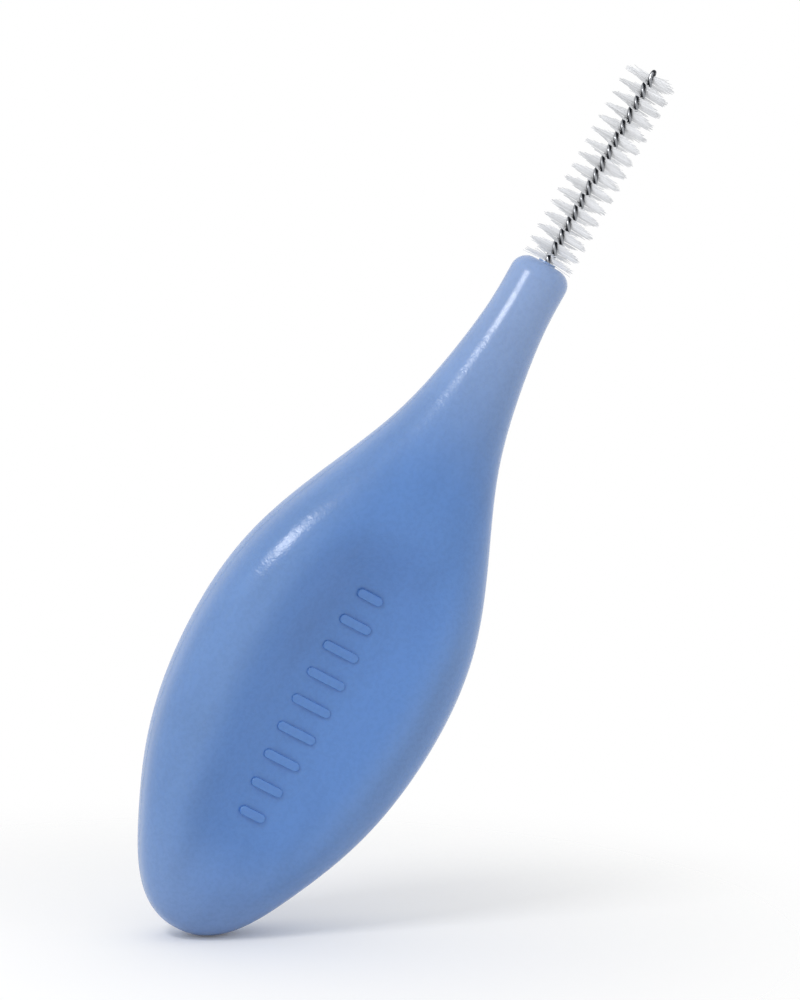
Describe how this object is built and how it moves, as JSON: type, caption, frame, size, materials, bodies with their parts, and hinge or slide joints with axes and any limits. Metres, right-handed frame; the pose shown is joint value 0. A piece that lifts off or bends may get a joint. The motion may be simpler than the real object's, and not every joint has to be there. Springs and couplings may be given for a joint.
{
  "type": "interdental brush",
  "caption": "Short-handled interdental brush: leaf-shaped moulded grip with a dished thumb rest on each face, twisted wire stem and a cylinder of nylon filaments.",
  "frame": {"origin": "centre of the butt end's small flat, on the handle's long axis", "axes": "+Z along the long axis to the brush tip, -Y out of the front broad face, +X to the right of that face"},
  "size_m": [0.0176, 0.0078, 0.0624],
  "materials": {
    "grip_plastic": "waxy satin, slightly translucent",
    "stem_steel": "bright drawn wire",
    "filament_nylon": "translucent natural nylon"
  },
  "bodies": {
    "root": {"handle": "grip_plastic", "wire_stem": "stem_steel", "bristle_tuft_01": "filament_nylon", "bristle_tuft_02": "filament_nylon", "bristle_tuft_03": "filament_nylon", "bristle_tuft_04": "filament_nylon", "bristle_tuft_05": "filament_nylon", "bristle_tuft_06": "filament_nylon", "bristle_tuft_07": "filament_nylon", "bristle_tuft_08": "filament_nylon", "bristle_tuft_09": "filament_nylon", "bristle_tuft_10": "filament_nylon", "bristle_tuft_11": "filament_nylon", "bristle_tuft_12": "filament_nylon", "bristle_tuft_13": "filament_nylon", "bristle_tuft_14": "filament_nylon", "bristle_tuft_15": "filament_nylon", "bristle_tuft_16": "filament_nylon"}
  },
  "joints": []
}
